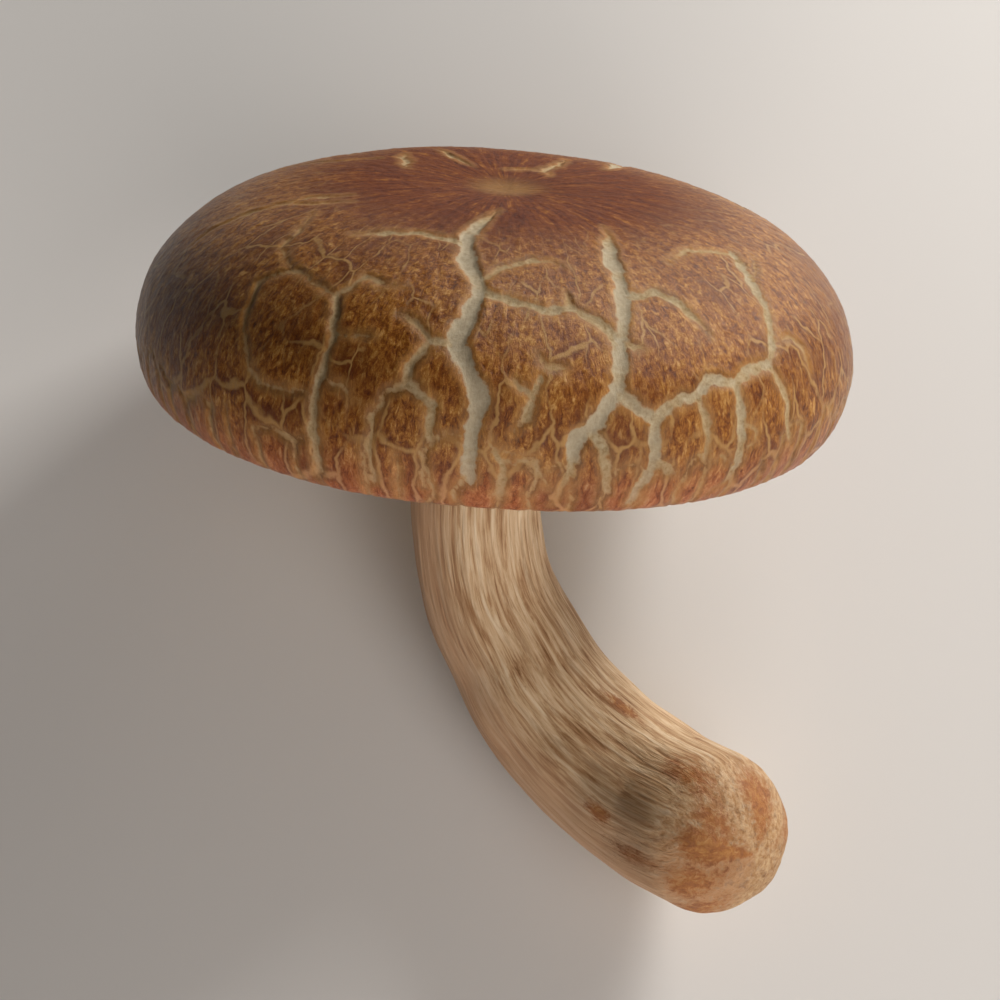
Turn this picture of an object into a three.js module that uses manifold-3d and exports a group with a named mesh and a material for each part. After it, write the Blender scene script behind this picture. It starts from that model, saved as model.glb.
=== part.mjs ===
// Shiitake mushroom lying on a table: one grown piece with a broad cap whose skin has
// split into a net of cracks, thin gills on the underside, and a bent stem with a round end.
// Millimetres, +Z up. The mushroom is described as it grew, upright, with the cap's axis on Z
// and the cap's widest level at height zero. At the end it is laid down on the back of the
// cap's margin and on the stem, with a small flat spot under each.

import * as THREE from "three";
import { mergeVertices } from "three/addons/utils/BufferGeometryUtils.js";
import Module from "manifold-3d";

// Driving dimensions
const capRadius = 35;
const crownHeight = 13;
const marginDrop = 8.3;
const fleshHeight = 3.2;
const gillDepth = 4.8;
const gillThickness = 0.7;
const gillPairs = 32;
const longGillStart = 4;
const shortGillStarts = [17, 21];
const stemTopRadius = 6.5;
const stemEndRadius = 8;
const stemRidges = 7;
const stemRidgeShare = 0.012;
const layingAngle = -49.6;
const restingFlatDepth = 0.75;

// How finely the round surfaces are divided
const capSides = 60;
const skinSteps = 13;
const stemSides = 24;
const stemSteps = 14;
const stemEndSteps = 4;
const crackStep = 5;

// Half section of the skin, from the crown out to the rolled-in margin: radius, height
const skinOutline = [
  [0, crownHeight],
  [8, crownHeight + 0.6],
  [16, crownHeight + 0.2],
  [23, crownHeight - 1.3],
  [29, crownHeight - 4.2],
  [33.4, 4.3],
  [capRadius, -0.7],
  [34.6, -4.9],
  [33.2, 0.7 - marginDrop],
  [31.2, -marginDrop],
];

// The same section on the inside, from the margin back to the axis
const fleshOutline = [
  [29.6, 0.5 - marginDrop],
  [28.4, 2.4 - marginDrop],
  [27.4, fleshHeight - 6.2],
  [24, fleshHeight - 2.6],
  [19, fleshHeight - 0.6],
  [12, fleshHeight],
  [0, fleshHeight],
];

// Middle line of the stem from inside the cap to the centre of its round end
const stemWay = [
  [-0.7, 0, 6],
  [-0.7, 0, -8],
  [-0.7, 0, -20],
  [1.2, -0.7, -28.3],
  [4.4, -2, -33.8],
  [7.4, -3.9, -37.9],
  [11.8, -6.5, -41.6],
  [16.8, -10, -44.1],
  [20.8, -14, -45],
  [24, -18.6, -44.4],
];

// Cracks in the skin: the width, and a way of points, each a bearing round the cap's axis
// in degrees and a run over the skin from the crown in millimetres
const cracks = [
  { width: 1.9, way: [[267, 10], [261, 16], [260, 19], [263, 23], [267, 26.5], [266, 29],
    [264, 33], [266, 35], [269, 38], [268, 41], [268, 45.5]] },
  { width: 1.1, way: [[260, 19.3], [253, 19.2], [246, 19.2], [240, 20], [232, 22.3]] },
  { width: 0.9, way: [[267, 25.5], [270, 23.8], [277, 22], [281, 22], [286, 23.2]] },
  { width: 1.2, way: [[267, 27.2], [273, 28], [279, 29.2], [284, 28.6], [289, 31], [291, 33]] },
  { width: 1, way: [[264, 33.2], [260, 33.4], [257.5, 36], [258, 37.4], [262, 39], [262, 42]] },
  { width: 0.9, way: [[258, 37.4], [255, 38.5], [253.3, 41], [253, 44], [254, 47]] },
  { width: 0.8, way: [[260, 33.2], [257, 31.7], [253.5, 31]] },
  { width: 1.9, way: [[307, 15.5], [300, 20], [297.5, 21.7], [297, 23.5], [294.5, 28],
    [291.5, 32], [290, 35], [289.2, 37.2], [285, 40.4], [283, 41.2], [282.5, 44.4], [280.5, 47]] },
  { width: 1.2, way: [[285, 40.6], [287.5, 42.3], [288.6, 46.4]] },
  { width: 1.6, way: [[289.2, 37], [295, 39.8], [295.5, 43.6], [293.6, 46.4]] },
  { width: 1, way: [[295.5, 43.6], [299, 45]] },
  { width: 1.4, way: [[295, 39.8], [300, 38], [303, 38], [305.5, 36.5], [310, 37.3],
    [313.5, 36.4], [318.6, 36.3], [321, 34.7], [325, 31], [327.5, 28], [333, 24.5]] },
  { width: 1, way: [[318.6, 36.3], [320.8, 39.5], [322, 43], [324, 45]] },
  { width: 1.4, way: [[310, 37.3], [310.4, 40], [311, 43.5], [309.7, 46.8]] },
  { width: 1.4, way: [[294.8, 27.3], [302, 27.1], [306, 28.8], [308.3, 32.6]] },
  { width: 0.9, way: [[303, 38], [304.3, 42], [303.8, 44]] },
  { width: 1.1, way: [[277.3, 33.6], [278, 35], [276.6, 37.6], [275.4, 39.6]] },
  { width: 0.9, way: [[276.6, 37.6], [273.5, 36.3]] },
  { width: 0.9, way: [[270.5, 41.5], [272.7, 44], [272.6, 47]] },
  { width: 1.3, way: [[241.3, 30.4], [244.3, 34.2], [244.2, 38], [243.7, 39.6], [244.3, 43],
    [245, 47]] },
  { width: 0.9, way: [[241.3, 30.4], [244, 27.4], [249, 28], [252.5, 28]] },
  { width: 1, way: [[241.3, 30.4], [235, 29.4], [229, 28.7], [224.5, 31.5], [227.5, 35.7],
    [231, 38.8], [234, 40.2], [243.7, 39.8]] },
  { width: 0.8, way: [[229, 28.7], [221, 27], [219.5, 24.3], [213, 21]] },
  { width: 0.8, way: [[197, 32], [196.5, 28], [198.5, 24], [200, 19.5], [206, 16]] },
  { width: 1, way: [[134, 15.2], [147, 12], [160, 10.5]] },
  { width: 0.9, way: [[117, 15.5], [120, 11], [118, 7.5]] },
  { width: 1, way: [[69, 16], [65, 11.5], [65, 8], [50, 6.5]] },
  { width: 0.9, way: [[311, 23.2], [321, 22.1], [327, 23.2], [333, 24.5]] },
];

// The back of the cap carries the same kind of net, which mirrors the front one without its
// two broad cracks from the crown, and stays a little nearer the crown
const mirrorSum = 355;
const firstMirrored = 2;
const lastMirrored = 24;
const nearerCrown = 1;
const lowestBackRun = 43;
const backPlace = ([bearing, run]) => (
  [mirrorSum - bearing, Math.min(run - nearerCrown, lowestBackRun)]
);
const backCracks = cracks.slice(firstMirrored, lastMirrored)
  .map(({ width, way }) => ({ width, way: way.map(backPlace) }));

// A crack's depth grows with its width, its wedge stands clear of the skin, and it narrows
// to this share of its size at both ends
const crackDepth = (width) => 0.3 + 0.4 * width;
const crackRise = 0.8;
const crackTaper = 0.35;

// Corners are rounded to this grid, so that those nearer than it become one
const grid = 0.002;

const wasm = await Module();
wasm.setup();

// Turns a closed geometry into a solid that can be joined and cut
function solidOf(geometry) {
  const plain = geometry.clone();
  plain.deleteAttribute("normal");
  plain.deleteAttribute("uv");
  const corners = plain.attributes.position.array;
  corners.forEach((value, i) => { corners[i] = Math.round(value / grid) * grid; });
  const welded = mergeVertices(plain, grid / 2);
  return new wasm.Manifold(new wasm.Mesh({
    numProp: 3,
    vertProperties: new Float32Array(welded.attributes.position.array),
    triVerts: new Uint32Array(welded.index.array),
  }));
}

// Turns a solid back into a geometry
function geometryOf(solid) {
  const mesh = solid.getMesh();
  const geometry = new THREE.BufferGeometry();
  geometry.setAttribute("position", new THREE.BufferAttribute(mesh.vertProperties, 3));
  geometry.setIndex(new THREE.BufferAttribute(mesh.triVerts, 1));
  return geometry;
}

const skin = new THREE.SplineCurve(skinOutline.map(([r, z]) => new THREE.Vector2(r, z)));
const skinLength = skin.getLength();

// A point of the skin at a bearing and a run, with the outward direction there
function skinPlace([bearing, run]) {
  const share = Math.min(run / skinLength, 1);
  const { x: radius, y: height } = skin.getPointAt(share);
  const { x: outward, y: rising } = skin.getTangentAt(share);
  const angle = THREE.MathUtils.degToRad(bearing);
  const [east, north] = [Math.cos(angle), Math.sin(angle)];
  return {
    point: new THREE.Vector3(radius * east, radius * north, height),
    normal: new THREE.Vector3(-rising * east, -rising * north, outward),
  };
}

// Cap body: the half section turned round the axis
function capBody() {
  const outline = [
    ...skin.getSpacedPoints(skinSteps),
    ...fleshOutline.map(([r, z]) => new THREE.Vector2(r, z)),
  ];
  outline[0].x = 0;
  const lathe = new THREE.LatheGeometry(outline.reverse(), capSides);
  return solidOf(lathe.rotateX(Math.PI / 2));
}

// One gill: a thin upright blade from its inner end out to the rolled-in margin. Its roots
// are sunk in the flesh, its free edge bends down towards the margin, and the inner end of a
// short one slopes
const gillSunk = 0.8;
const gillRoots = [[19, fleshHeight - 0.6], [24, fleshHeight - 2.6], [29, fleshHeight - 6.2]];
const gillEdgeRadii = [28.6, 24, 20];
const bendStart = 15;
const bendLength = 13;
const bendDrop = 4;
const shortGillSlope = 2.5;

function gillEdgeHeight(radius) {
  const bent = Math.max(radius - bendStart, 0) / bendLength;
  return fleshHeight - gillDepth - bendDrop * bent ** 2;
}

function gillBlade(innerRadius) {
  const lowRadius = innerRadius + (innerRadius > stemTopRadius ? shortGillSlope : 0);
  const roots = gillRoots.filter(([radius]) => radius > innerRadius);
  const edge = gillEdgeRadii.filter((radius) => radius > lowRadius);
  const blade = new THREE.Shape([
    new THREE.Vector2(innerRadius, fleshHeight + gillSunk),
    ...roots.map(([radius, height]) => new THREE.Vector2(radius, height + gillSunk)),
    ...[...edge, lowRadius].map((radius) => new THREE.Vector2(radius, gillEdgeHeight(radius))),
  ]);
  const plate = new THREE.ExtrudeGeometry(blade, { depth: gillThickness, bevelEnabled: false });
  return plate.translate(0, 0, -gillThickness / 2).rotateX(Math.PI / 2);
}

// All the gills: long ones reach the stem, and short ones of two lengths stand between them
function gills() {
  let all = null;
  for (let pair = 0; pair < gillPairs; pair += 1) {
    const shortStart = shortGillStarts[pair % shortGillStarts.length];
    [longGillStart, shortStart].forEach((inner, place) => {
      const angle = ((2 * pair + place) * Math.PI) / gillPairs;
      const blade = solidOf(gillBlade(inner).rotateZ(angle));
      all = all ? all.add(blade) : blade;
    });
  }
  return all;
}

// Stem: rings along its middle line, with low ridges that run its whole length. It swells
// towards its round end between these two shares of the way
const swellStart = 0.35;
const swellEnd = 0.9;

function stemRadius(share) {
  const swell = THREE.MathUtils.smoothstep(share, swellStart, swellEnd);
  return THREE.MathUtils.lerp(stemTopRadius, stemEndRadius, swell);
}

function stem() {
  const line = new THREE.CatmullRomCurve3(stemWay.map((p) => new THREE.Vector3(...p)));
  const frames = line.computeFrenetFrames(stemSteps);
  const positions = [];
  const index = [];
  const ring = (centre, across, up, radius) => {
    for (let j = 0; j < stemSides; j += 1) {
      const turn = (j / stemSides) * 2 * Math.PI;
      const ridged = radius * (1 + stemRidgeShare * Math.cos(stemRidges * turn));
      positions.push(
        ...centre.clone()
          .addScaledVector(across, ridged * Math.cos(turn))
          .addScaledVector(up, ridged * Math.sin(turn)),
      );
    }
  };
  for (let i = 0; i <= stemSteps; i += 1) {
    const share = i / stemSteps;
    ring(line.getPointAt(share), frames.normals[i], frames.binormals[i], stemRadius(share));
  }
  const ahead = frames.tangents[stemSteps];
  for (let i = 1; i < stemEndSteps; i += 1) {
    const turn = (i / stemEndSteps) * (Math.PI / 2);
    const centre = line.getPointAt(1).addScaledVector(ahead, stemEndRadius * Math.sin(turn));
    const radius = stemEndRadius * Math.cos(turn);
    ring(centre, frames.normals[stemSteps], frames.binormals[stemSteps], radius);
  }
  const rings = positions.length / 3 / stemSides;
  const top = rings * stemSides;
  positions.push(...line.getPointAt(0));
  positions.push(...line.getPointAt(1).addScaledVector(ahead, stemEndRadius));
  for (let j = 0; j < stemSides; j += 1) {
    const next = (j + 1) % stemSides;
    index.push(top, next, j);
    for (let i = 0; i < rings - 1; i += 1) {
      const a = i * stemSides;
      const b = a + stemSides;
      index.push(a + j, a + next, b + j, b + j, a + next, b + next);
    }
    const end = (rings - 1) * stemSides;
    index.push(end + j, end + next, top + 1);
  }
  const geometry = new THREE.BufferGeometry();
  geometry.setAttribute("position", new THREE.Float32BufferAttribute(positions, 3));
  geometry.setIndex(index);
  return solidOf(geometry);
}

// One crack: a wedge along its way, with its edge under the skin and its broad side above
function crackWedge({ width, way }) {
  const stations = [];
  for (let i = 0; i + 1 < way.length; i += 1) {
    const from = skinPlace(way[i]).point;
    const to = skinPlace(way[i + 1]).point;
    const parts = Math.ceil(from.distanceTo(to) / crackStep);
    for (let k = 0; k < parts; k += 1) {
      const mix = (n) => THREE.MathUtils.lerp(way[i][n], way[i + 1][n], k / parts);
      stations.push(skinPlace([mix(0), mix(1)]));
    }
  }
  stations.push(skinPlace(way[way.length - 1]));
  const last = stations.length - 1;
  const positions = [];
  const index = [];
  stations.forEach(({ point, normal }, i) => {
    const before = stations[Math.max(i - 1, 0)].point;
    const after = stations[Math.min(i + 1, last)].point;
    const side = after.clone().sub(before).cross(normal).normalize();
    const size = i === 0 || i === last ? crackTaper : 1;
    const depth = crackDepth(width) * size;
    const half = (width / 2) * size * ((depth + crackRise) / depth);
    const above = point.clone().addScaledVector(normal, crackRise);
    positions.push(...above.clone().addScaledVector(side, half));
    positions.push(...above.clone().addScaledVector(side, -half));
    positions.push(...point.clone().addScaledVector(normal, -depth));
    if (i < last) {
      const a = 3 * i;
      for (let k = 0; k < 3; k += 1) {
        const next = (k + 1) % 3;
        index.push(a + k, a + 3 + k, a + next, a + next, a + 3 + k, a + 3 + next);
      }
    }
  });
  const end = 3 * last;
  index.push(0, 1, 2, end + 2, end + 1, end);
  const geometry = new THREE.BufferGeometry();
  geometry.setAttribute("position", new THREE.Float32BufferAttribute(positions, 3));
  geometry.setIndex(index);
  return solidOf(geometry);
}

let grown = capBody().add(gills()).add(stem());
for (const crack of [...cracks, ...backCracks]) {
  grown = grown.subtract(crackWedge(crack));
}

// The mushroom laid down, its margin and its stem a little under the table top
const laid = geometryOf(grown).rotateX(THREE.MathUtils.degToRad(layingAngle));
laid.computeBoundingBox();
laid.translate(0, 0, -laid.boundingBox.min.z - restingFlatDepth);

// The table cuts the two flats, and the origin goes under the middle of the mushroom's box
const tableSide = 300;
const tableThickness = 50;
const table = new THREE.BoxGeometry(tableSide, tableSide, tableThickness);
table.translate(0, 0, -tableThickness / 2);
const resting = geometryOf(solidOf(laid).subtract(solidOf(table)));
resting.computeBoundingBox();
const middle = resting.boundingBox.getCenter(new THREE.Vector3());
resting.translate(-middle.x, -middle.y, 0);

// Crumbs that the cuts leave loose are dropped
const bodies = solidOf(resting).decompose();
const whole = geometryOf(bodies.reduce((a, b) => (a.volume() > b.volume() ? a : b)));
whole.computeVertexNormals();

const material = new THREE.MeshStandardMaterial({ color: 0xa56a3a, roughness: 0.7, metalness: 0 });
const mushroom = new THREE.Mesh(whole, material);
mushroom.name = "mushroom";

const part = new THREE.Group();
part.add(mushroom);
export default part;
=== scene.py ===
import math

import bmesh
import bpy
import numpy as np
from mathutils import Matrix, Vector, kdtree, noise


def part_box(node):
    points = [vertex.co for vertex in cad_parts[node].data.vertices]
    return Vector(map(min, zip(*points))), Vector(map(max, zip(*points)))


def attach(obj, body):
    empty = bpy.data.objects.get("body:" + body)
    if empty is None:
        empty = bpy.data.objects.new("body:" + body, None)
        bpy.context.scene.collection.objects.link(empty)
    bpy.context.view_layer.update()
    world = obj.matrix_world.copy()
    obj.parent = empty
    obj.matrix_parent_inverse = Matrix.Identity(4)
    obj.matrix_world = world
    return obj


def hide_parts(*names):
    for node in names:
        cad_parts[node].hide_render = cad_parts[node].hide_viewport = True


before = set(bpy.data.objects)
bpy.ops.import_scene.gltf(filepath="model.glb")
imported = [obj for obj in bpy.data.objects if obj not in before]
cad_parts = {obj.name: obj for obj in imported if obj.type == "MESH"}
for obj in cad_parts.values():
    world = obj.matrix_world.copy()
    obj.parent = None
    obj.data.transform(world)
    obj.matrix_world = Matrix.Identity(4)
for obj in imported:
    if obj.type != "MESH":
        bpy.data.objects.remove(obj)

scene = bpy.context.scene
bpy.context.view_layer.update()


# The view
# The mushroom is seen as it is photographed, a little above the level of its cap. It has been
# laid down from that upright place, so the camera has turned with it and looks down at it.

laying_angle = math.radians(-49.6)
looking_down = math.radians(19.86)
picture_roll = math.radians(4.387)
lens_mm = 100
sensor_mm = 36
eye = Vector((1.69, -98.08, 278.42)) / 1000

camera = bpy.data.cameras.new("camera")
camera.lens = lens_mm
camera.sensor_width = sensor_mm
camera.clip_start = 0.01
camera_object = bpy.data.objects.new("camera", camera)
tilt = Matrix.Rotation(math.radians(90) - looking_down + laying_angle, 4, "X")
camera_object.matrix_world = Matrix.Translation(eye) @ tilt @ Matrix.Rotation(picture_roll, 4, "Z")
scene.collection.objects.link(camera_object)
scene.camera = camera_object


# The table and the light
# A wide pale board, and soft studio lamps: large ones at the right, which leave the left side of
# the cap in shade, a low one behind that gives the skin its sheen, and a weak one that opens
# the shadows.


def paint(code):
    """A hex colour as linear red, green, blue and alpha."""
    parts = [int(code[i:i + 2], 16) / 255 for i in (1, 3, 5)]
    return [p / 12.92 if p <= 0.04045 else ((p + 0.055) / 1.055) ** 2.4 for p in parts] + [1]


def put(tree, kind, feeds=None, stops=None, **settings):
    """Adds a node, with its settings, what feeds its inputs, and the stops of its ramp."""
    node = tree.nodes.new("ShaderNode" + kind)
    for name, value in settings.items():
        setattr(node, name, value)
    for socket, source in (feeds or {}).items():
        if isinstance(source, bpy.types.NodeSocket):
            tree.links.new(source, node.inputs[socket])
        else:
            node.inputs[socket].default_value = source
    if stops:
        ramp = node.color_ramp.elements
        while len(ramp) < len(stops):
            ramp.new(1)
        for stop, (place, colour) in zip(ramp, stops):
            stop.position = place
            stop.color = paint(colour) if isinstance(colour, str) else [colour] * 3 + [1]
    return node


def start_material(name):
    """An empty node material: its tree and its output node."""
    material = bpy.data.materials.new(name)
    material.use_nodes = True
    material.node_tree.nodes.clear()
    return material, material.node_tree, put(material.node_tree, "OutputMaterial")


# Matt board paint: pale and without gloss, so that it only takes the soft shadows. The board
# lies a hair lower than the mushroom's flats, which are at height zero
board_size = 3
hair_gap = 0.00002
board_paint, tree, output = start_material("matt_board")
shader = put(tree, "BsdfPrincipled", {"Base Color": paint("#dad9d7"), "Roughness": 0.75})
tree.links.new(shader.outputs["BSDF"], output.inputs["Surface"])

bm = bmesh.new()
bmesh.ops.create_grid(bm, x_segments=1, y_segments=1, size=board_size / 2)
bmesh.ops.translate(bm, verts=bm.verts, vec=(0, 0, -hair_gap))
board_mesh = bpy.data.meshes.new("board")
bm.to_mesh(board_mesh)
bm.free()
board_mesh.materials.append(board_paint)
board = bpy.data.objects.new("board", board_mesh)
scene.collection.objects.link(board)

# Each lamp's name, place and width in metres, power in watts and tint
lamp_target = Vector((0, 0.01, 0.02))
lamps = [
    ("key", (0.25, 0.28, 0.19), 0.14, 1.6, "#fffaf4"),
    ("sheen", (0.16, 0.36, 0.075), 0.13, 0.3, "#fff8f4"),
    ("front", (0.14, -0.38, 0.17), 0.28, 1.05, "#fff4ec"),
    ("top", (0.20, -0.20, 0.33), 0.24, 0.42, "#fff8f2"),
    ("fill", (-0.34, -0.26, 0.36), 0.40, 0.03, "#f6f2f0"),
]
for name, place, width, watts, tint in lamps:
    lamp = bpy.data.lights.new(name, "AREA")
    lamp.size = width
    lamp.energy = watts
    lamp.color = paint(tint)[:3]
    lamp_object = bpy.data.objects.new(name, lamp)
    aim = (lamp_target - Vector(place)).to_track_quat("-Z", "Y")
    lamp_object.matrix_world = Matrix.Translation(place) @ aim.to_matrix().to_4x4()
    scene.collection.objects.link(lamp_object)

world = bpy.data.worlds.new("studio")
world.use_nodes = True
world.node_tree.nodes["Background"].inputs["Color"].default_value = paint("#e6e4e0")
world.node_tree.nodes["Background"].inputs["Strength"].default_value = 0.05
scene.world = world
scene.view_settings.view_transform = "Standard"


# The cap's skin
# The brown skin of the cap, which dried and split as the cap grew: thick plates stand a little
# proud between cracks that show the cream flesh, and the edge rolls under all round.

# The skin's outline: radius and height in millimetres as it grew, from the crown to the margin
cap_radius = 35
crown_height = 13
margin_drop = 8.3
skin_outline = [
    (0, crown_height), (8, crown_height + 0.6), (16, crown_height + 0.2),
    (23, crown_height - 1.3), (29, crown_height - 4.2), (33.4, 4.3), (cap_radius, -0.7),
    (34.6, -4.9), (33.2, 0.7 - margin_drop), (31.2, -margin_drop),
]
rolled_edge = [(29.6, 0.5 - margin_drop), (28.6, 2 - margin_drop), (28, 4.4 - margin_drop)]
skin_rings = 128
skin_sides = 700


def smooth_line(points, count, steps_between=60):
    """Equally spaced points on a smooth line through the given ones, and the line's length."""
    given = np.array(points, float)
    before, after = np.vstack([given[:1], given[:-1]]), np.vstack([given[1:], given[-1:]])
    pull = (after - before) / 2
    t = np.linspace(0, 1, steps_between, endpoint=False)[:, None]
    bends = [
        (2 * a - 2 * b + p + q) * t**3 + (3 * b - 3 * a - 2 * p - q) * t**2 + p * t + a
        for a, b, p, q in zip(given[:-1], given[1:], pull[:-1], pull[1:])
    ]
    fine = np.vstack([*bends, given[-1:]])
    run = np.concatenate([[0], np.cumsum(np.linalg.norm(np.diff(fine, axis=0), axis=1))])
    even = np.linspace(0, run[-1], count)
    return np.stack([np.interp(even, run, column) for column in fine.T], 1), run[-1]


def smooth_step(value, low=0.0, high=1.0):
    """Rises from 0 at low to 1 at high, with soft ends."""
    share = np.clip((value - low) / (high - low), 0, 1)
    return share * share * (3 - 2 * share)


def turned(outline, sides):
    """A bmesh of an outline of radius and height, turned round the axis and closed."""
    bm = bmesh.new()
    chain = [bm.verts.new((radius, 0, height)) for radius, height in outline]
    edges = [bm.edges.new(pair) for pair in zip(chain[:-1], chain[1:])]
    bmesh.ops.spin(bm, geom=chain + edges, cent=(0, 0, 0), axis=(0, 0, 1),
                   angle=2 * math.pi, steps=sides, use_merge=True)
    bmesh.ops.remove_doubles(bm, verts=bm.verts, dist=1e-4)
    bmesh.ops.recalc_face_normals(bm, faces=bm.faces)
    if bm.calc_volume(signed=True) < 0:
        bmesh.ops.reverse_faces(bm, faces=bm.faces)
    return bm


def places(mesh):
    """A mesh's points as an array."""
    flat = np.empty(len(mesh.vertices) * 3, np.float32)
    mesh.vertices.foreach_get("co", flat)
    return flat.reshape(-1, 3).astype(float)


def outward(mesh):
    """The direction that the surface faces at each point."""
    flat = np.empty(len(mesh.vertices) * 3, np.float32)
    mesh.vertex_normals.foreach_get("vector", flat)
    return flat.reshape(-1, 3).astype(float)


def grain(points, size, seed=0.0):
    """Smooth noise from -1 to 1 at each point, with features of the given size."""
    return np.array([noise.noise(Vector(p) / size + Vector((seed, 0, 0))) for p in points])


def keep(mesh, name, values, kind="FLOAT"):
    """Stores a value for each point, for a material to read."""
    field = "vector" if kind == "FLOAT_VECTOR" else "value"
    mesh.attributes.new(name, kind, "POINT").data.foreach_set(field, np.ravel(values))


# The mushroom lies where the CAD model lies: turned back, then set in that model's box
skin_line, skin_length = smooth_line(skin_outline, skin_rings)
high_corner = np.array(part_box("mushroom")[1]) * 1000
sine, cosine = math.sin(laying_angle), math.cos(laying_angle)
back_shift = high_corner[1] - (skin_line @ (cosine, -sine)).max()
lift = high_corner[2] - (skin_line @ (-sine, cosine)).max()
lay_down = Matrix.Translation((0, back_shift, lift)) @ Matrix.Rotation(laying_angle, 4, "X")


def finish_piece(name, mesh, material):
    """Lays a grown mesh down on the table, in metres, and makes it a piece of the mushroom."""
    points = places(mesh) @ np.array(lay_down.to_3x3()).T + np.array(lay_down.translation)
    points[:, 2] = np.maximum(points[:, 2], 0)
    mesh.vertices.foreach_set("co", (points / 1000).astype(np.float32).ravel())
    mesh.polygons.foreach_set("use_smooth", [True] * len(mesh.polygons))
    mesh.update()
    mesh.materials.append(material)
    piece = bpy.data.objects.new(name, mesh)
    scene.collection.objects.link(piece)
    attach(piece, "root")
    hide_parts("mushroom")
    return piece


# Each crack: its width, and its way as bearings round the cap and runs over the skin from the
# crown, in degrees and millimetres
cracks = [
    (1.9, [(267, 10), (261, 16), (260, 19), (263, 23), (267, 26.5), (266, 29), (264, 33),
           (266, 35), (269, 38), (268, 41), (268, 45.5)]),
    (1.1, [(260, 19.3), (253, 19.2), (246, 19.2), (240, 20), (232, 22.3)]),
    (0.9, [(267, 25.5), (270, 23.8), (277, 22), (281, 22), (286, 23.2)]),
    (1.2, [(267, 27.2), (273, 28), (279, 29.2), (284, 28.6), (289, 31), (291, 33)]),
    (0.7, [(284, 28.6), (283.3, 26.8)]),
    (1.0, [(264, 33.2), (260, 33.4), (257.5, 36), (258, 37.4), (262, 39), (262, 42)]),
    (0.7, [(258, 37.4), (255, 38.5), (253.3, 41), (253, 44), (254, 47)]),
    (0.8, [(260, 33.2), (257, 31.7), (253.5, 31)]),
    (0.6, [(266, 41.3), (263.5, 41.6), (261.5, 43.2), (261.3, 46.5)]),
    (1.9, [(307, 15.5), (300, 20), (297.5, 21.7), (297, 23.5), (294.5, 28), (291.5, 32),
           (290, 35), (289.2, 37.2), (285, 40.4), (283, 41.2), (282.5, 44.4), (280.5, 48)]),
    (1.2, [(285, 40.6), (287.5, 42.3), (288.6, 46.4)]),
    (1.6, [(289.2, 37), (295, 39.8), (295.5, 43.6), (293.6, 46.4), (293, 48)]),
    (1.0, [(295.5, 43.6), (299, 45)]),
    (1.4, [(295, 39.8), (300, 38), (303, 38), (305.5, 36.5), (310, 37.3), (313.5, 36.4),
           (318.6, 36.3), (321, 34.7), (325, 31), (327.5, 28), (333, 24.5)]),
    (0.6, [(327.5, 28), (332, 27.3), (338, 25.8)]),
    (1.0, [(318.6, 36.3), (320.8, 39.5), (322, 43), (324, 45)]),
    (0.6, [(322, 34.5), (326, 34.5), (328.5, 35.8), (328.5, 38.5)]),
    (1.4, [(310, 37.3), (310.4, 40), (311, 43.5), (309.7, 46.8), (307, 48)]),
    (0.6, [(311, 41.2), (314, 41.8), (313.5, 43), (311.3, 43.7)]),
    (1.4, [(294.8, 27.3), (302, 27.1), (306, 28.8), (308.3, 32.6)]),
    (0.9, [(290.7, 32.6), (294.8, 33.2)]),
    (0.9, [(303, 38), (304.3, 42), (303.8, 44)]),
    (1.1, [(277.3, 33.6), (278, 35), (276.6, 37.6), (275.4, 39.6), (273.6, 41)]),
    (0.9, [(276.6, 37.6), (273.5, 36.3)]),
    (0.6, [(278, 35), (281.5, 34.8)]),
    (0.9, [(270.5, 41.5), (272.7, 44), (272.6, 47)]),
    (0.7, [(272.5, 43.6), (277.2, 43.3), (278, 44.5), (280, 46)]),
    (1.0, [(241.3, 30.4), (244.3, 34.2), (244.2, 38), (243.7, 39.6), (244.3, 43), (245, 47)]),
    (0.7, [(241.3, 30.4), (244, 27.4), (249, 28), (252.5, 28)]),
    (0.6, [(244.3, 34.2), (248.5, 33.8), (251, 33.6)]),
    (0.6, [(244.5, 38.2), (248, 38.7), (250, 39.8)]),
    (0.6, [(241.3, 30.4), (235, 29.4), (229, 28.7), (224.5, 31.5), (227.5, 35.7), (231, 38.8),
           (234, 40.2), (243.7, 39.8)]),
    (0.5, [(229, 28.7), (221, 27), (219.5, 24.3), (213, 21)]),
    (0.6, [(197, 32), (196.5, 28), (198.5, 24), (200, 19.5), (206, 16)]),
    (0.6, [(199, 22.5), (206, 20), (212, 17)]),
    (1.0, [(134, 15.2), (147, 12), (160, 10.5)]),
    (0.9, [(117, 15.5), (120, 11), (118, 7.5)]),
    (1.0, [(69, 16), (65, 11.5), (65, 8), (50, 6.5)]),
    (0.7, [(65, 8), (80, 7), (92, 6.5)]),
    (0.9, [(311, 23.2), (321, 22.1), (327, 23.2), (333, 24.5)]),
]

# The other side of the cap has most of these cracks mirrored, a little nearer to the crown
mirror_sum = 355
nearer = 1
first_mirrored, end_of_mirrored = 3, 34
cracks += [
    (width, [(mirror_sum - bearing, run - nearer) for bearing, run in way])
    for width, way in cracks[first_mirrored:end_of_mirrored]
]

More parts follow.
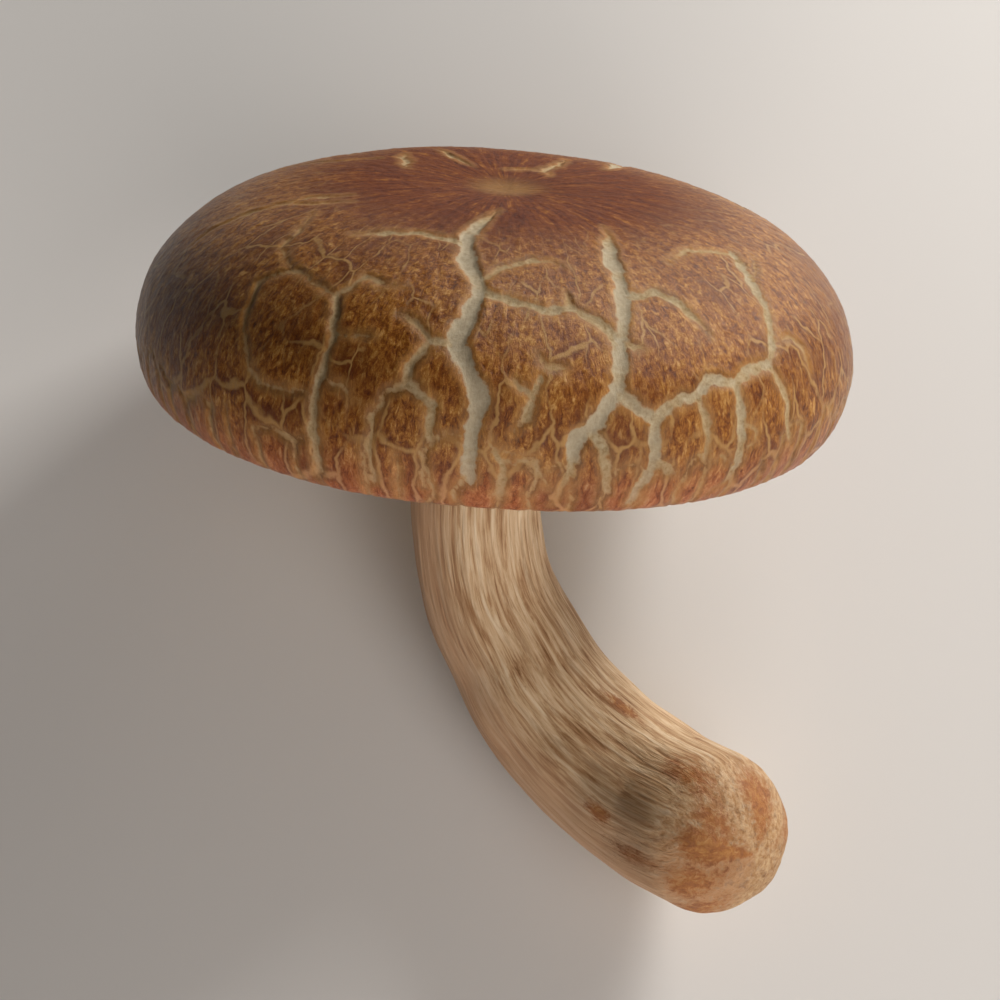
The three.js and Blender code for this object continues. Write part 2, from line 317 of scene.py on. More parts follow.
# Round the rim short cracks run down to the edge, and some are joined into cells
draw = np.random.default_rng(11)
rim_cracks = 66
rim_spread = 0.3
rim_starts = (42.2, 45.4)
rim_middle = 47.4
rim_end = 50.6
rim_bend = 1.6
rim_widths = (0.4, 0.75)
joined_share = 0.62
joint_rise = 0.9
joint_widths = (0.35, 0.6)
rim = []
for i in range(rim_cracks):
    bearing = (i + draw.uniform(-rim_spread, rim_spread)) * 360 / rim_cracks
    start = draw.uniform(*rim_starts)
    middle = bearing + draw.uniform(-rim_bend, rim_bend)
    rim.append((bearing, start))
    way = [(bearing, start), (middle, rim_middle), (bearing, rim_end)]
    cracks.append((draw.uniform(*rim_widths), way))
for (bearing, start), (other, end) in zip(rim, rim[1:]):
    if draw.uniform() < joined_share:
        between = ((bearing + other) / 2, (start + end) / 2 - joint_rise)
        cracks.append((draw.uniform(*joint_widths), [(bearing, start), between, (other, end)]))


def on_skin(bearing, run):
    """Points of the smooth skin at bearings in degrees and runs in millimetres."""
    radius, height = (
        np.interp(run, np.linspace(0, skin_length, skin_rings), column) for column in skin_line.T
    )
    angle = np.radians(bearing)
    return np.stack([radius * np.cos(angle), radius * np.sin(angle), height], 1)


# The cracks as close rows of points, each with the crack's half width there. A crack tapers
# to a point, unless it ends in another one, and its width wavers along its way
trace_step = 0.12
touching = 0.9
least_taper = 2
taper_per_width = 2.4
most_taper_share = 0.35
blunt_tip = 0.5
long_waver = (2.4, 0.22)
short_waver = (0.9, 0.25)
open_share = 0.4
closing = 0.02
lines, runs = [], []
for width, way in cracks:
    corners = np.array(way, float)
    legs = np.linalg.norm(np.diff(on_skin(*corners.T), axis=0), axis=1)
    along = np.concatenate([[0], np.cumsum(legs)])
    even = np.linspace(0, along[-1], max(int(along[-1] / trace_step), 4))
    lines.append(on_skin(*(np.interp(even, along, column) for column in corners.T)))
    runs.append(even)


def is_free(number, end):
    """Whether an end of a crack's line touches no other crack."""
    return all(
        np.linalg.norm(line - lines[number][end], axis=1).min() > touching
        for other, line in enumerate(lines) if other != number
    )


trace, half_widths = [], []
for number, ((width, _), line, even) in enumerate(zip(cracks, lines, runs)):
    taper = min(least_taper + taper_per_width * width, most_taper_share * even[-1])
    from_start = even if is_free(number, 0) else even + taper
    from_end = even[-1] - even if is_free(number, -1) else even[-1] - even + taper
    point = smooth_step(np.minimum(from_start, from_end), -blunt_tip, taper)
    swell = sum(share * grain(line, size, number) for size, share in (long_waver, short_waver))
    trace.append(line)
    half_widths.append((open_share * width - closing) * (1 + swell) * point - closing)
trace, half_widths = np.vstack(trace), np.concatenate(half_widths)
tree_of_cracks = kdtree.KDTree(len(trace))
for i, point in enumerate(trace):
    tree_of_cracks.insert(point, i)
tree_of_cracks.balance()

skin_outside = [tuple(p) for p in skin_line]
skin_inside = [(26, 1), (18, 6), (8, 7.5), (0, 7.5)]
skin_bm = turned(skin_outside + rolled_edge + skin_inside, skin_sides)
skin_mesh = bpy.data.meshes.new("cap_skin")
skin_bm.to_mesh(skin_mesh)
skin_bm.free()

# Each point's run over the skin. The inner side of the shell gets one past the rolled edge
on_ring = 0.01
inner_run = skin_length + 8
points = places(skin_mesh)
normals = outward(skin_mesh)
radius = np.hypot(points[:, 0], points[:, 1])
bearing = np.arctan2(points[:, 1], points[:, 0])
outer = np.array(skin_outside + rolled_edge)
ring = np.argmin(
    np.abs(radius[:, None] - outer[:, 0]) + np.abs(points[:, 2:] - outer[:, 1]), axis=1
)
off_skin = np.abs(radius - outer[ring, 0]) + np.abs(points[:, 2] - outer[ring, 1]) > on_ring
outer_run = np.concatenate([[0], np.cumsum(np.linalg.norm(np.diff(outer, axis=0), axis=1))])
run = np.where(off_skin, inner_run, outer_run[ring])

# A torn edge: each point looks for its crack from a place a little aside of its own
coarse_tear, coarse_size = 0.36, 1.5
fine_tear, fine_size = 0.22, 0.6
far_off = 9.0
looked_at = 5
torn = points + coarse_tear * np.stack([grain(points, coarse_size, s) for s in (3, 7, 13)], 1)
torn += fine_tear * np.stack([grain(points, fine_size, s) for s in (23, 27, 33)], 1)
gap = np.full(len(points), far_off)
wide = np.ones(len(points))
for i in np.flatnonzero(run < skin_length + 3):
    for _, k, distance in tree_of_cracks.find_n(torn[i], looked_at):
        if distance - half_widths[k] < gap[i]:
            gap[i] = distance - half_widths[k]
            wide[i] = half_widths[k]

# The relief in millimetres: wide cracks are deeper, plates swell away from them behind a thin
# lip, and the whole skin is finely rough and gently wavy
crack_depth = 0.08 + 0.22 * wide
plate_rise = 0.09
rise_reach = 0.7
lip_height, lip_place, lip_breadth = 0.05, 0.4, 0.3
roughness = 0.05
wave_height, wave_length = 0.22, 14
floor_share = smooth_step(-gap, -0.15, 0.5 * wide)
swelling = plate_rise * (1 - np.exp(-np.maximum(gap, 0) / rise_reach))
lip = lip_height * np.exp(-((gap - lip_place) / lip_breadth) ** 2)
rough_plate = roughness * grain(points * (1, 1, 0.5), 1.1, 41)
rough_plate += roughness * grain(points, 0.5, 51)
waves = wave_height * grain(points, wave_length, 61)
inner_fade = 1 - smooth_step(run, skin_length + 1, skin_length + 6)
height = waves + swelling + lip + rough_plate * (1 - floor_share) - crack_depth * floor_share
points += normals * ((height - plate_rise) * inner_fade)[:, None]
skin_mesh.vertices.foreach_set("co", points.astype(np.float32).ravel())

keep(skin_mesh, "gap", gap)
keep(skin_mesh, "crack_breadth", 2 * wide)
keep(skin_mesh, "run", run)
ring_way = np.stack([cap_radius * np.cos(bearing), cap_radius * np.sin(bearing), run], 1)
keep(skin_mesh, "skin_way", ring_way, "FLOAT_VECTOR")

# The skin unrolled, for the net of hairlines: its two edges meet where the cap rests, and the
# net leaves that line free
seam_bare, seam_end = 0.02, 0.09
unrolled = (bearing + 1.5 * math.pi) % (2 * math.pi) - math.pi
flat_way = np.stack([cap_radius * unrolled, run, np.zeros(len(run))], 1)
keep(skin_mesh, "flat_way", flat_way, "FLOAT_VECTOR")
keep(skin_mesh, "net_share", smooth_step(math.pi - np.abs(unrolled), seam_bare, seam_end))

# Dried mushroom skin: brown and leathery, dull at the crown and a little glossy below it, with
# dark fibres that run down from the crown, an amber ground that shows between them, and cream
# flesh in the cracks. Its patterns are in millimetres: fibres 0.6 mm wide and flecks 0.7 mm
# wide, both coarser than the real ones so that they show, curls 1.2 mm wide, crown streaks
# 2 mm wide, shaded areas 9 mm wide, and net cells about 3.7 mm wide and 7 mm long
skin_material, tree, output = start_material("dried_cap_skin")
gap_value = put(tree, "Attribute", attribute_name="gap").outputs["Fac"]
run_value = put(tree, "Attribute", attribute_name="run").outputs["Fac"]
way_value = put(tree, "Attribute", attribute_name="skin_way").outputs["Vector"]
place = put(tree, "Mapping", {
    "Vector": put(tree, "TexCoord").outputs["Object"], "Scale": (1000, 1000, 1000),
}).outputs["Vector"]

fibre_way = put(tree, "Mapping", {"Vector": way_value, "Scale": (1, 1, 0.42)}).outputs["Vector"]
fibres = put(tree, "TexNoise", {
    "Vector": fibre_way, "Scale": 1.7, "Detail": 8, "Roughness": 0.78, "Distortion": 0.6,
}).outputs["Fac"]
patches = put(tree, "TexNoise", {
    "Vector": place, "Scale": 1.5, "Detail": 7, "Roughness": 0.8, "Distortion": 0.5,
}).outputs["Fac"]
wide_patches = put(tree, "TexNoise", {
    "Vector": place, "Scale": 0.11, "Detail": 3, "Roughness": 0.6,
}).outputs["Fac"]
lower_skin = put(tree, "MapRange", {
    "Value": run_value, "From Min": 24, "From Max": 42, "To Min": 0.3, "To Max": 0.75,
}, interpolation_type="SMOOTHSTEP").outputs["Result"]
grainy = put(tree, "Mix", {"Factor": lower_skin, "A": patches, "B": fibres}).outputs["Result"]
curls = put(tree, "TexNoise", {
    "Vector": fibre_way, "Scale": 0.85, "Detail": 4, "Roughness": 0.62, "Distortion": 0.7,
}).outputs["Fac"]
from_curl = put(tree, "Math", {
    0: put(tree, "Math", {0: curls, 1: 0.5}, operation="SUBTRACT").outputs["Value"],
}, operation="ABSOLUTE").outputs["Value"]
dark_curls = put(tree, "MapRange", {
    "Value": from_curl, "From Min": 0.0, "From Max": 0.05, "To Min": -0.035, "To Max": 0.015,
}).outputs["Result"]
mottle = put(tree, "Math", {0: grainy, 1: dark_curls}, operation="ADD").outputs["Value"]

plates = put(tree, "ValToRGB", {"Fac": mottle}, stops=[
    (0.36, "#3c1906"), (0.43, "#66340b"), (0.49, "#864e17"), (0.55, "#a5702f"), (0.62, "#c89a5a"),
]).outputs["Color"]
crown_streaks = put(tree, "Mix", {"Factor": 0.6, "A": patches, "B": put(tree, "TexNoise", {
    "Vector": put(tree, "Mapping", {"Vector": way_value, "Scale": (1, 1, 0.4)}).outputs["Vector"],
    "Scale": 0.5, "Detail": 9, "Roughness": 0.74, "Distortion": 0.3,
}).outputs["Fac"]}).outputs["Result"]
crown = put(tree, "ValToRGB", {"Fac": crown_streaks}, stops=[
    (0.36, "#411603"), (0.46, "#5c2504"), (0.54, "#743a08"), (0.62, "#9f6628"),
]).outputs["Color"]
rim_tone = put(tree, "ValToRGB", {"Fac": mottle}, stops=[
    (0.36, "#5e2a10"), (0.45, "#944e28"), (0.54, "#b26c42"), (0.66, "#cc9672"),
]).outputs["Color"]
to_plates = put(tree, "MapRange", {
    "Value": run_value, "From Min": 13, "From Max": 27,
}, interpolation_type="SMOOTHSTEP").outputs["Result"]
to_rim = put(tree, "MapRange", {
    "Value": run_value, "From Min": 42, "From Max": 49,
}, interpolation_type="SMOOTHSTEP").outputs["Result"]
middle = put(tree, "MapRange", {
    "Value": run_value, "From Min": 5, "From Max": 1, "To Max": 0.45,
}, interpolation_type="SMOOTHSTEP").outputs["Result"]
upper = put(tree, "Mix", {"Factor": to_plates, "A": crown, "B": plates}, data_type="RGBA")
lower = put(tree, "Mix", {
    "Factor": to_rim, "A": upper.outputs["Result"], "B": rim_tone,
}, data_type="RGBA")
worn = put(tree, "Mix", {
    "Factor": middle, "A": lower.outputs["Result"], "B": paint("#b08a52"),
}, data_type="RGBA")
burnt = put(tree, "MapRange", {
    "Value": wide_patches, "From Min": 0.48, "From Max": 0.66, "To Max": 0.5,
}).outputs["Result"]
ground = put(tree, "Mix", {
    "Factor": burnt, "A": worn.outputs["Result"], "B": paint("#5e2c12"),
}, data_type="RGBA").outputs["Result"]

# Hairline cracks, too fine for the relief, divide the plates into long cells
wander = put(tree, "TexNoise", {"Vector": place, "Scale": 0.35, "Detail": 3}).outputs["Color"]
cell_way = put(tree, "VectorMath", {
    0: wander, 1: (2.6, 1.6, 0),
    2: put(tree, "Mapping", {
        "Vector": put(tree, "Attribute", attribute_name="flat_way").outputs["Vector"],
        "Scale": (1, 0.5, 1),
    }).outputs["Vector"],
}, operation="MULTIPLY_ADD").outputs["Vector"]
cells = put(tree, "TexVoronoi", {
    "Vector": cell_way, "Scale": 0.27, "Randomness": 0.9,
}, voronoi_dimensions="2D", feature="DISTANCE_TO_EDGE").outputs["Distance"]
net_breadth = put(tree, "MapRange", {
    "Value": run_value, "From Min": 36, "From Max": 46, "To Min": 0.045, "To Max": 0.085,
}).outputs["Result"]
thin = put(tree, "MapRange", {
    "Value": cells, "From Min": net_breadth, "From Max": 0.01,
}, interpolation_type="SMOOTHSTEP").outputs["Result"]
here = put(tree, "MapRange", {
    "Value": put(tree, "Math", {
        0: put(tree, "TexNoise", {"Vector": place, "Scale": 0.22, "Detail": 2}).outputs["Fac"],
        1: put(tree, "MapRange", {
            "Value": run_value, "From Min": 36, "From Max": 47, "To Max": 0.2,
        }).outputs["Result"],
    }, operation="ADD").outputs["Value"],
    "From Min": 0.44, "From Max": 0.62, "To Max": 0.85,
}).outputs["Result"]
net_share = put(tree, "Math", {
    0: put(tree, "MapRange", {
        "Value": run_value, "From Min": 14, "From Max": 24,
    }).outputs["Result"],
    1: put(tree, "Attribute", attribute_name="net_share").outputs["Fac"],
}, operation="MULTIPLY").outputs["Value"]
hairlines = put(tree, "Math", {
    0: put(tree, "Math", {0: thin, 1: here}, operation="MULTIPLY").outputs["Value"],
    1: net_share,
}, operation="MULTIPLY").outputs["Value"]
# Painted shadow: the skin just beside each hairline is darkened
painted_net_shadow = put(tree, "Math", {
    0: put(tree, "MapRange", {
        "Value": put(tree, "Math", {0: cells, 1: net_breadth}, operation="SUBTRACT").outputs["Value"],
        "From Min": 0.07, "From Max": 0.0, "To Max": 0.6,
    }).outputs["Result"], 1: here,
}, operation="MULTIPLY").outputs["Value"]
shaded = put(tree, "Mix", {
    "Factor": put(tree, "Math", {0: painted_net_shadow, 1: net_share}, operation="MULTIPLY").outputs["Value"],
    "A": ground, "B": paint("#5a2710"),
}, data_type="RGBA").outputs["Result"]
net_tone = put(tree, "Mix", {
    "Factor": to_rim, "A": paint("#b08850"), "B": paint("#c08c62"),
}, data_type="RGBA").outputs["Result"]
lined = put(tree, "Mix", {
    "Factor": hairlines, "A": shaded, "B": net_tone,
}, data_type="RGBA").outputs["Result"]

# Where a crack is open, its flesh shows; beside it the skin is frayed and pale on one side, and
# dark where it curls down: that dark band is painted shade, laid on in patches along the edge
fray = put(tree, "TexNoise", {"Vector": place, "Scale": 2.2, "Detail": 5, "Roughness": 0.65})
side_noise = put(tree, "TexNoise", {"Vector": place, "Scale": 0.3, "Detail": 2}).outputs["Fac"]
torn_gap = put(tree, "Math", {
    0: fray.outputs["Fac"], 1: 0.6, 2: gap_value,
}, operation="MULTIPLY_ADD").outputs["Value"]
open_crack = put(tree, "MapRange", {
    "Value": torn_gap, "From Min": 0.44, "From Max": 0.16,
}, interpolation_type="SMOOTHSTEP").outputs["Result"]
frayed = put(tree, "ValToRGB", {
    "Fac": put(tree, "MapRange", {"Value": torn_gap, "From Max": 2}).outputs["Result"],
}, stops=[(0.10, 0.6), (0.3, 0.4), (0.6, 0)]).outputs["Color"]
# Painted shade: a dark band along each crack's edge, in patches, where the skin curls down into it
painted_edge_shade = put(tree, "Math", {
    0: put(tree, "ValToRGB", {
        "Fac": put(tree, "MapRange", {"Value": torn_gap, "From Max": 2}).outputs["Result"],
    }, stops=[(0.12, 0), (0.2, 1), (0.3, 0.5), (0.5, 0)]).outputs["Color"],
    1: put(tree, "MapRange", {
        "Value": side_noise, "From Min": 0.42, "From Max": 0.62, "To Max": 0.5,
    }).outputs["Result"],
}, operation="MULTIPLY").outputs["Value"]
flesh_tone = put(tree, "ValToRGB", {"Fac": fray.outputs["Fac"]}, stops=[
    (0.32, "#8f7753"), (0.48, "#aa9571"), (0.66, "#bbab8c"),
]).outputs["Color"]
# Narrow cracks are browner, partly because their floor is skin not split through to the flesh and
# partly as painted shade deep in the narrow cleft; broad ones are greyer
breadth = put(tree, "Attribute", attribute_name="crack_breadth").outputs["Fac"]
narrow = put(tree, "MapRange", {
    "Value": breadth, "From Min": 1.0, "From Max": 0.3, "To Max": 0.55,
}).outputs["Result"]
broad = put(tree, "MapRange", {
    "Value": breadth, "From Min": 0.9, "From Max": 1.4, "To Max": 0.55,
}).outputs["Result"]
browner = put(tree, "Mix", {
    "Factor": narrow, "A": flesh_tone, "B": paint("#b38c5a"),
}, data_type="RGBA").outputs["Result"]
crack_tone = put(tree, "Mix", {
    "Factor": broad, "A": browner, "B": paint("#b3aa96"),
}, data_type="RGBA").outputs["Result"]
rim_flesh = put(tree, "Mix", {
    "Factor": put(tree, "Math", {0: to_rim, 1: 0.35}, operation="MULTIPLY").outputs["Value"],
    "A": crack_tone, "B": paint("#bb8862"),
}, data_type="RGBA")
pale_edge = put(tree, "Mix", {"Factor": frayed, "A": lined, "B": paint("#b5874f")}, data_type="RGBA")
# The painted shade band darkens the skin along the crack edges
edge_shaded = put(tree, "Mix", {
    "Factor": painted_edge_shade, "A": pale_edge.outputs["Result"], "B": paint("#3a1707"),
}, data_type="RGBA")
colour = put(tree, "Mix", {
    "Factor": open_crack, "A": edge_shaded.outputs["Result"], "B": rim_flesh.outputs["Result"],
}, data_type="RGBA").outputs["Result"]
crown_dullness = put(tree, "MapRange", {
    "Value": run_value, "From Min": 14, "From Max": 26, "To Min": 0.7, "To Max": 0.3,
}).outputs["Result"]
dullness = put(tree, "MapRange", {
    "Value": open_crack, "To Min": crown_dullness, "To Max": 0.85,
})
fibre_relief = put(tree, "Bump", {"Height": mottle, "Strength": 0.6, "Distance": 0.0003})
shader = put(tree, "BsdfPrincipled", {
    "Base Color": colour, "Roughness": dullness.outputs["Result"], "Specular IOR Level": 0.26,
    "Normal": fibre_relief.outputs["Normal"],
})
tree.links.new(shader.outputs["BSDF"], output.inputs["Surface"])
finish_piece("cap_skin", skin_mesh, skin_material)


# The cap's flesh
# The pale, firm flesh under the skin. From outside only its underside shows, as the roof
# between the gills.

# Radius and height in millimetres: the underside, and the top that the skin covers
flesh_rings = 30
flesh_sides = 180
flesh_outline = [
    (28.3, -5.6), (27.4, -3), (24, 0.6), (19, 2.6), (12, 3.2), (0, 3.2),
]
flesh_top = [(0, 7.3), (8, 7.3), (17.8, 5.8), (25.8, 0.8), (27.8, -4)]
flesh_line, _ = smooth_line(flesh_outline, flesh_rings)
flesh_bm = turned(flesh_top + [tuple(p) for p in flesh_line], flesh_sides)
flesh_mesh = bpy.data.meshes.new("cap_flesh")
flesh_bm.to_mesh(flesh_mesh)
flesh_bm.free()

# Raw mushroom flesh: matt and cream, with clouds 2.5 mm wide where it has dried a little
flesh_material, tree, output = start_material("raw_cream_flesh")
place = put(tree, "Mapping", {
    "Vector": put(tree, "TexCoord").outputs["Object"], "Scale": (1000, 1000, 1000),
}).outputs["Vector"]
clouds = put(tree, "TexNoise", {"Vector": place, "Scale": 0.4, "Detail": 5}).outputs["Fac"]
colour = put(tree, "ValToRGB", {"Fac": clouds}, stops=[(0.35, "#c9b184"), (0.65, "#e2d2aa")])
shader = put(tree, "BsdfPrincipled", {"Base Color": colour.outputs["Color"], "Roughness": 0.8})
tree.links.new(shader.outputs["BSDF"], output.inputs["Surface"])
finish_piece("cap_flesh", flesh_mesh, flesh_material)


# The gills
# Thin soft blades that hang from the flesh and run out from the stem to the rolled edge.
# Between two long ones stand shorter ones, because the cap grows wider than the stem.

# The four blades of a set: where each starts from the axis, its turn within the set, and its
# share of the full depth. All sizes are in millimetres
gill_ways = [(5.5, 0.0, 1.0), (21.5, 0.25, 0.72), (14.5, 0.5, 0.9), (21.5, 0.75, 0.72)]
gill_sets = 72
gill_depth = 4.8
gill_leaf = 0.36
gill_steps = 10
gill_end = 28.5
gill_root = 0.4
least_gill = 0.3
inner_roof = 3.2
droop, droop_start, droop_reach = 4, 15, 13
gill_bend = 0.22
gill_turns = 3
uneven_turn = 0.05
roof_radius, roof_height = flesh_line[::-1].T
gill_bm = bmesh.new()
for number in range(gill_sets):
    for inner, turn, share in gill_ways:
        leaf = bmesh.ops.create_grid(gill_bm, x_segments=gill_steps, y_segments=1, size=1)
        bend, phase = draw.uniform(-gill_bend, gill_bend), draw.uniform(0, 6)
        uneven = draw.uniform(-uneven_turn, uneven_turn)
        angle = 2 * math.pi * (number + turn + uneven) / gill_sets
        for vert in leaf["verts"]:
            out = (vert.co.x + 1) / 2
            r = inner + (gill_end - inner) * out
            roof = np.interp(r, roof_radius, roof_height) + gill_root
            lower = inner_roof - gill_depth - droop * (max(r - droop_start, 0) / droop_reach) ** 2
            lower += (1 - share) * gill_depth * (1 - out)
            side = bend * math.sin(gill_turns * out + phase) * (1 - vert.co.y)
            vert.co = (r, side, roof if vert.co.y > 0 else min(lower, roof - least_gill))
        bmesh.ops.rotate(gill_bm, verts=leaf["verts"], cent=(0, 0, 0),
                         matrix=Matrix.Rotation(angle, 3, "Z"))
bmesh.ops.solidify(gill_bm, geom=gill_bm.faces[:], thickness=gill_leaf)
bmesh.ops.recalc_face_normals(gill_bm, faces=gill_bm.faces)
gill_mesh = bpy.data.meshes.new("gills")
gill_bm.to_mesh(gill_mesh)
gill_bm.free()
gill_mesh.set_sharp_from_angle(angle=math.radians(50))
keep(gill_mesh, "reach", np.hypot(*places(gill_mesh)[:, :2].T))

# Gill tissue: cream and velvety, with clouds 3 mm wide, and a little browner towards the rim
gill_material, tree, output = start_material("cream_gill_tissue")
place = put(tree, "Mapping", {
    "Vector": put(tree, "TexCoord").outputs["Object"], "Scale": (1000, 1000, 1000),
}).outputs["Vector"]
clouds = put(tree, "TexNoise", {"Vector": place, "Scale": 0.35, "Detail": 4}).outputs["Fac"]
pale = put(tree, "ValToRGB", {"Fac": clouds}, stops=[(0.3, "#d9c194"), (0.7, "#efe1bd")])
reach = put(tree, "MapRange", {
    "Value": put(tree, "Attribute", attribute_name="reach").outputs["Fac"],
    "From Min": 19, "From Max": 29, "To Max": 0.6,
})
colour = put(tree, "Mix", {
    "Factor": reach.outputs["Result"], "A": pale.outputs["Color"], "B": paint("#c79e68"),
}, data_type="RGBA")
shader = put(tree, "BsdfPrincipled", {
    "Base Color": colour.outputs["Result"], "Roughness": 0.75, "Sheen Weight": 0.15,
})
tree.links.new(shader.outputs["BSDF"], output.inputs["Surface"])
finish_piece("gills", gill_mesh, gill_material)


# The stem
# A tough, fibrous stem that bends to one side and swells a little to a rounded end, where it
# was pulled off the wood. Its fibres run its whole length.

# Its middle line in millimetres, as it grew: down from inside the cap, then out to the side
stem_way = [
    (-0.7, 0, 6), (-0.7, 0, -8), (-0.7, 0, -20), (1.2, -0.7, -28.3), (4.4, -2, -33.8),
    (7.4, -3.9, -37.9), (11.8, -6.5, -41.6), (16.8, -10, -44.1), (20.8, -14, -45),
    (24, -18.6, -44.4),
]
stem_top_radius = 6.5
stem_end_radius = 8
stem_rings = 150
stem_sides = 180
end_rings = 24
way_steps = 400

way_points, stem_length = smooth_line(stem_way, way_steps)
tangents = np.gradient(way_points, axis=0)
tangents /= np.linalg.norm(tangents, axis=1)[:, None]
across = [np.cross(tangents[0], (0, 1, 0))]
for tangent in tangents[1:]:
    turned_side = across[-1] - tangent * np.dot(across[-1], tangent)
    across.append(turned_side / np.linalg.norm(turned_side))
across = np.array(across)
beside = np.cross(tangents, across)

along = np.linspace(0, stem_length, stem_rings)
swell = smooth_step(along / stem_length, 0.35, 0.9)
side_line = list(zip(stem_top_radius + (stem_end_radius - stem_top_radius) * swell, along))
round_end = [
    (stem_end_radius * math.cos(a), stem_length + stem_end_radius * math.sin(a))
    for a in np.linspace(0, math.pi / 2, end_rings)[1:]
]
stem_bm = turned([(0, 0)] + side_line + round_end, stem_sides)
stem_mesh = bpy.data.meshes.new("stem")
stem_bm.to_mesh(stem_mesh)
stem_bm.free()

# The stem is made straight, with its ridges, fibres and lumps, and then bent along its way
ridge_count, ridge_share = 7, 0.012
fibre_height, lump_height = 0.09, 0.14
straight = places(stem_mesh)
normals = outward(stem_mesh)
angle = np.arctan2(straight[:, 1], straight[:, 0])
ridges = 1 + ridge_share * np.cos(ridge_count * angle)
fibre = grain(straight * (1, 1, 0.10), 1.5, 71) + 0.5 * grain(straight * (1, 1, 0.12), 0.7, 81)
lumps = grain(straight, 4.5, 91)
straight_relief = fibre_height * fibre + lump_height * lumps
straight[:, :2] *= ridges[:, None]
bent = straight + normals * straight_relief[:, None]
k = np.clip(bent[:, 2] / stem_length, 0, 1) * (len(way_points) - 1)
past = bent[:, 2] - np.clip(bent[:, 2], 0, stem_length)
steps = np.arange(len(way_points))
at, side, up, forward = (
    np.stack([np.interp(k, steps, column) for column in table.T], 1)
    for table in (way_points, across, beside, tangents)
)
points = at + side * bent[:, :1] + up * bent[:, 1:2] + forward * past[:, None]
stem_mesh.vertices.foreach_set("co", points.astype(np.float32).ravel())
keep(stem_mesh, "stem_way", straight, "FLOAT_VECTOR")
keep(stem_mesh, "along", straight[:, 2])

# Each stain's bearing round the stem in degrees, its place along the stem, breadth and length in
# millimetres, and its strength
stains = [
    (60, 73, 2.0, 4.5, 0.9), (42, 55, 0.7, 4.0, 1.2),
    (117, 63, 1.0, 2.6, 1.1), (111, 77.5, 3.4, 2.6, 1.3), (15, 77, 3.2, 3.0, 1.1),
    (80, 77, 2.6, 2.0, 0.9), (150, 76, 3.5, 3.0, 1.0), (135, 70, 1.2, 4.0, 0.8),
    (190, 74, 3.0, 4.0, 1.0), (250, 70, 2.4, 5.0, 0.9), (310, 75, 3.0, 3.5, 1.0),
    (280, 58, 1.0, 4.0, 0.9), (330, 50, 0.8, 5.0, 0.8), (205, 48, 1.0, 5.0, 0.8),
]
stain = np.zeros(len(straight))
for turn, place_along, breadth, length, strength in stains:
    aside = (angle - math.radians(turn) + math.pi) % (2 * math.pi) - math.pi
    away = (aside * stem_end_radius / breadth) ** 2 + ((straight[:, 2] - place_along) / length) ** 2
    stain = np.maximum(stain, strength * np.exp(-away))
keep(stem_mesh, "stain", stain)
# Painted light: one side of the stem, the edge that light from below falls on, is painted pinker and
# lighter
lit_side_bearing = math.radians(160)
keep(stem_mesh, "underside", smooth_step(np.cos(angle - lit_side_bearing), 0.45, 1))

# Stem skin: dry and matt, with cream threads 0.5 mm wide, coarser than the real ones so that
# they show, brown streaks 1.1 mm wide that follow them, rusty stains with 0.8 mm flecks, and a
# browner, rough end
stem_material, tree, output = start_material("fibrous_stem_skin")
way_value = put(tree, "Attribute", attribute_name="stem_way").outputs["Vector"]
along_value = put(tree, "Attribute", attribute_name="along").outputs["Fac"]
stretched = put(tree, "Mapping", {
    "Vector": way_value, "Location": (7, 3, 0), "Scale": (1, 1, 0.05),
}).outputs["Vector"]
blotch_way = put(tree, "Mapping", {"Vector": way_value, "Scale": (1, 1, 0.35)}).outputs["Vector"]
threads = put(tree, "TexNoise", {
    "Vector": stretched, "Scale": 2.0, "Detail": 7, "Roughness": 0.66, "Distortion": 0.4,
}).outputs["Fac"]
streaks = put(tree, "TexNoise", {
    "Vector": stretched, "Scale": 0.9, "Detail": 6, "Roughness": 0.7, "Distortion": 0.8,
}).outputs["Fac"]
cream = put(tree, "ValToRGB", {"Fac": threads}, stops=[
    (0.32, "#855d38"), (0.41, "#b18a62"), (0.49, "#ceae87"), (0.58, "#ddc3a0"), (0.70, "#e9d6b7"),
]).outputs["Color"]
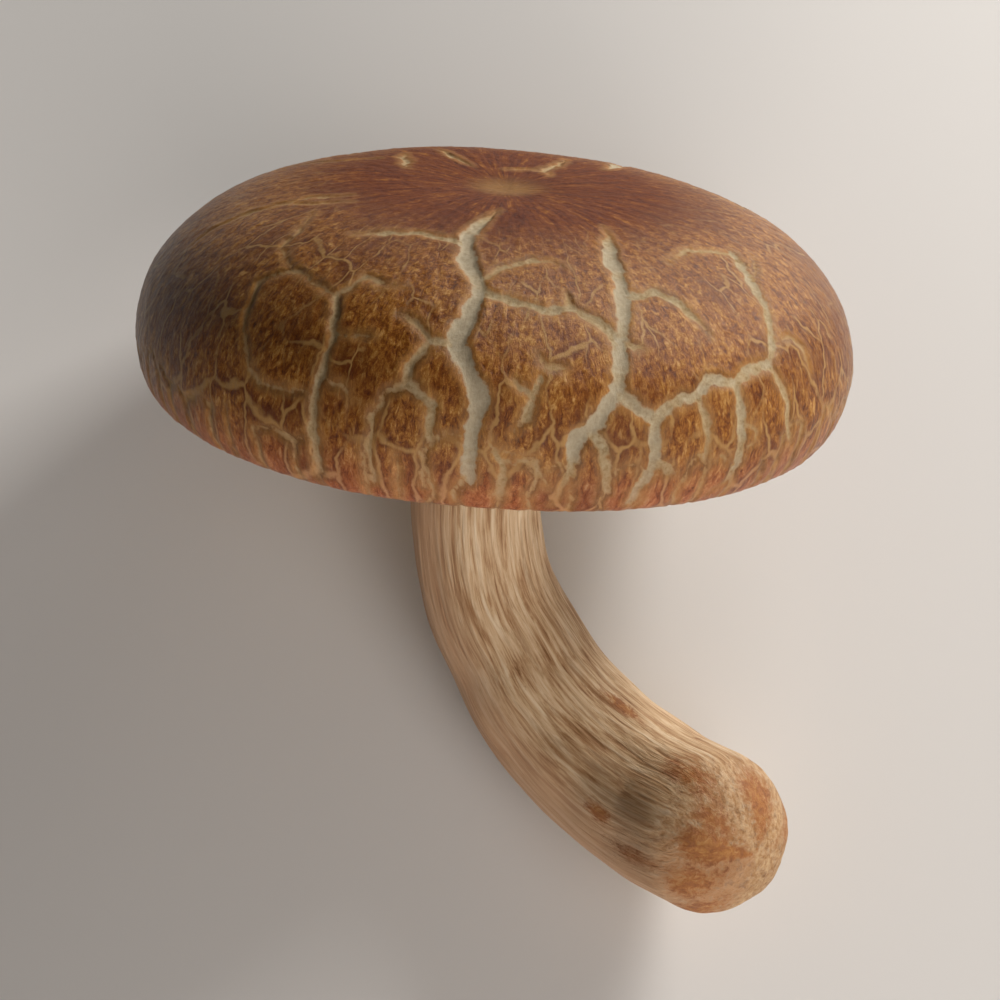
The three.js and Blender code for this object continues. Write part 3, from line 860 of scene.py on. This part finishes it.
streaked = put(tree, "Mix", {
    "Factor": put(tree, "MapRange", {
        "Value": streaks, "From Min": 0.51, "From Max": 0.64, "To Max": 0.6,
    }).outputs["Result"],
    "A": cream, "B": paint("#8f6336"),
}, data_type="RGBA").outputs["Result"]
# The lit edge of the stem is painted pinker and lighter: painted light
painted_side_light = put(tree, "Mix", {
    "Factor": put(tree, "Math", {
        0: put(tree, "Attribute", attribute_name="underside").outputs["Fac"], 1: 0.65,
    }, operation="MULTIPLY").outputs["Value"],
    "A": streaked, "B": paint("#cb9f7c"),
}, data_type="RGBA").outputs["Result"]
mottle = put(tree, "TexNoise", {
    "Vector": blotch_way, "Scale": 1.3, "Detail": 7, "Roughness": 0.75, "Distortion": 0.6,
}).outputs["Fac"]
stained = put(tree, "Math", {
    0: mottle, 1: 2.6,
    2: put(tree, "Attribute", attribute_name="stain").outputs["Fac"],
}, operation="MULTIPLY_ADD").outputs["Value"]
rust = put(tree, "MapRange", {
    "Value": stained, "From Min": 1.6, "From Max": 2.2, "To Max": 0.9,
}).outputs["Result"]
end_tint = put(tree, "MapRange", {
    "Value": along_value, "From Min": 66, "From Max": 79, "To Max": 0.55,
}, interpolation_type="SMOOTHSTEP").outputs["Result"]
browned = put(tree, "Mix", {"Factor": end_tint, "A": painted_side_light, "B": put(tree, "ValToRGB", {
    "Fac": mottle,
}, stops=[(0.36, "#6d4420"), (0.5, "#a97a45"), (0.64, "#c59f6c")]).outputs["Color"]},
              data_type="RGBA").outputs["Result"]
rusty = put(tree, "Mix", {"Factor": rust, "A": browned, "B": put(tree, "ValToRGB", {
    "Fac": mottle,
}, stops=[(0.40, "#b9803f"), (0.52, "#a06029"), (0.68, "#7c431c")]).outputs["Color"]},
             data_type="RGBA").outputs["Result"]
thread_relief = put(tree, "Bump", {"Height": threads, "Strength": 0.7, "Distance": 0.0004})
shader = put(tree, "BsdfPrincipled", {
    "Base Color": rusty, "Roughness": 0.68, "Normal": thread_relief.outputs["Normal"],
})
tree.links.new(shader.outputs["BSDF"], output.inputs["Surface"])
finish_piece("stem", stem_mesh, stem_material)
